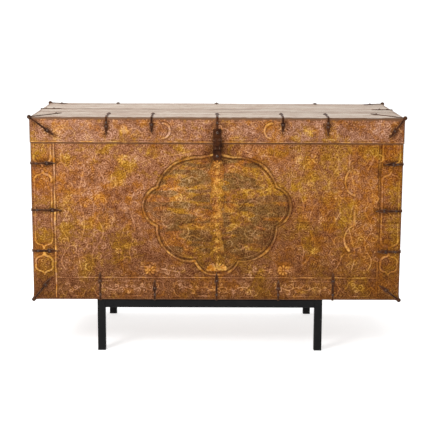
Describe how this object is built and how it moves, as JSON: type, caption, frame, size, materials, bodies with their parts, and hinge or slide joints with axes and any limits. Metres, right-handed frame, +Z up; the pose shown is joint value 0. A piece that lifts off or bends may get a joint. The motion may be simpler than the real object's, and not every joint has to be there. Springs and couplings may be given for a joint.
{
  "type": "iron-strapped storage chest on a steel stand",
  "caption": "Large plank trunk with a relief-decorated front, iron edge straps, a strap-hinged lid and a hasp, on a welded square tube stand.",
  "frame": {"origin": "on the floor, under the middle of the chest's box", "axes": "+X along the chest to the viewer's right, +Y to the back, +Z up; the decorated front faces -Y"},
  "size_m": [1.416, 0.63, 0.9085],
  "materials": {
    "gesso_relief": "aged gilt and red-brown lacquer over gesso relief",
    "old_wood": "bare aged softwood",
    "weathered_top": "weathered planks, dull",
    "forged_iron": "hand forged, dark brown patina",
    "black_steel": "matte black powder coat",
    "foot_plastic": "matte black"
  },
  "bodies": {
    "root": {"base_corner_iron_back_left": "forged_iron", "base_corner_iron_back_right": "forged_iron", "base_corner_iron_front_left": "forged_iron", "base_corner_iron_front_right": "forged_iron", "base_straps_back": "forged_iron", "base_straps_ends": "forged_iron", "base_straps_front": "forged_iron", "body_back_board_lower": "old_wood", "body_back_board_upper": "old_wood", "body_edge_straps_back_left": "forged_iron", "body_edge_straps_back_right": "forged_iron", "body_edge_straps_front_left": "forged_iron", "body_edge_straps_front_right": "forged_iron", "body_front_board_lower": "old_wood", "body_front_board_upper": "old_wood", "body_front_facing": "gesso_relief", "body_left_board_lower": "old_wood", "body_left_board_upper": "old_wood", "body_left_facing": "gesso_relief", "body_nails": "forged_iron", "body_right_board_lower": "old_wood", "body_right_board_upper": "old_wood", "body_right_facing": "gesso_relief", "bottom_plank_1": "old_wood", "bottom_plank_2": "old_wood", "bottom_plank_3": "old_wood", "hinge_pins": "forged_iron", "hinge_straps_lower": "forged_iron", "lock_plate": "forged_iron", "stand_foot_plugs": "foot_plastic", "stand_leg_back_left": "black_steel", "stand_leg_back_right": "black_steel", "stand_leg_front_left": "black_steel", "stand_leg_front_right": "black_steel", "stand_rail_back": "black_steel", "stand_rail_front": "black_steel", "stand_rail_left": "black_steel", "stand_rail_right": "black_steel"},
    "lid": {"hasp_pin": "forged_iron", "hasp_strap": "forged_iron", "hinge_straps_upper": "forged_iron", "lid_back_board": "old_wood", "lid_battens": "old_wood", "lid_corner_iron_back_left": "forged_iron", "lid_corner_iron_back_right": "forged_iron", "lid_corner_iron_front_left": "forged_iron", "lid_corner_iron_front_right": "forged_iron", "lid_front_board": "old_wood", "lid_front_facing": "gesso_relief", "lid_left_board": "old_wood", "lid_left_facing": "gesso_relief", "lid_nails": "forged_iron", "lid_right_board": "old_wood", "lid_right_facing": "gesso_relief", "lid_straps_ends": "forged_iron", "lid_straps_front": "forged_iron", "lid_top_plank_back": "weathered_top", "lid_top_plank_front": "weathered_top", "lid_top_plank_middle": "weathered_top"},
    "hasp": {"hasp": "forged_iron"}
  },
  "joints": [
    {"name": "lid_hinge", "type": "hinge", "parent": "root", "child": "lid", "pos_m": [0, 0.309, 0.8045], "axis": [-1, 0, 0], "range_deg": [0, 105]},
    {"name": "hasp_swing", "type": "hinge", "parent": "lid", "child": "hasp", "pos_m": [0, -0.309, 0.8175], "axis": [-1, 0, 0], "range_deg": [0, 150]}
  ]
}
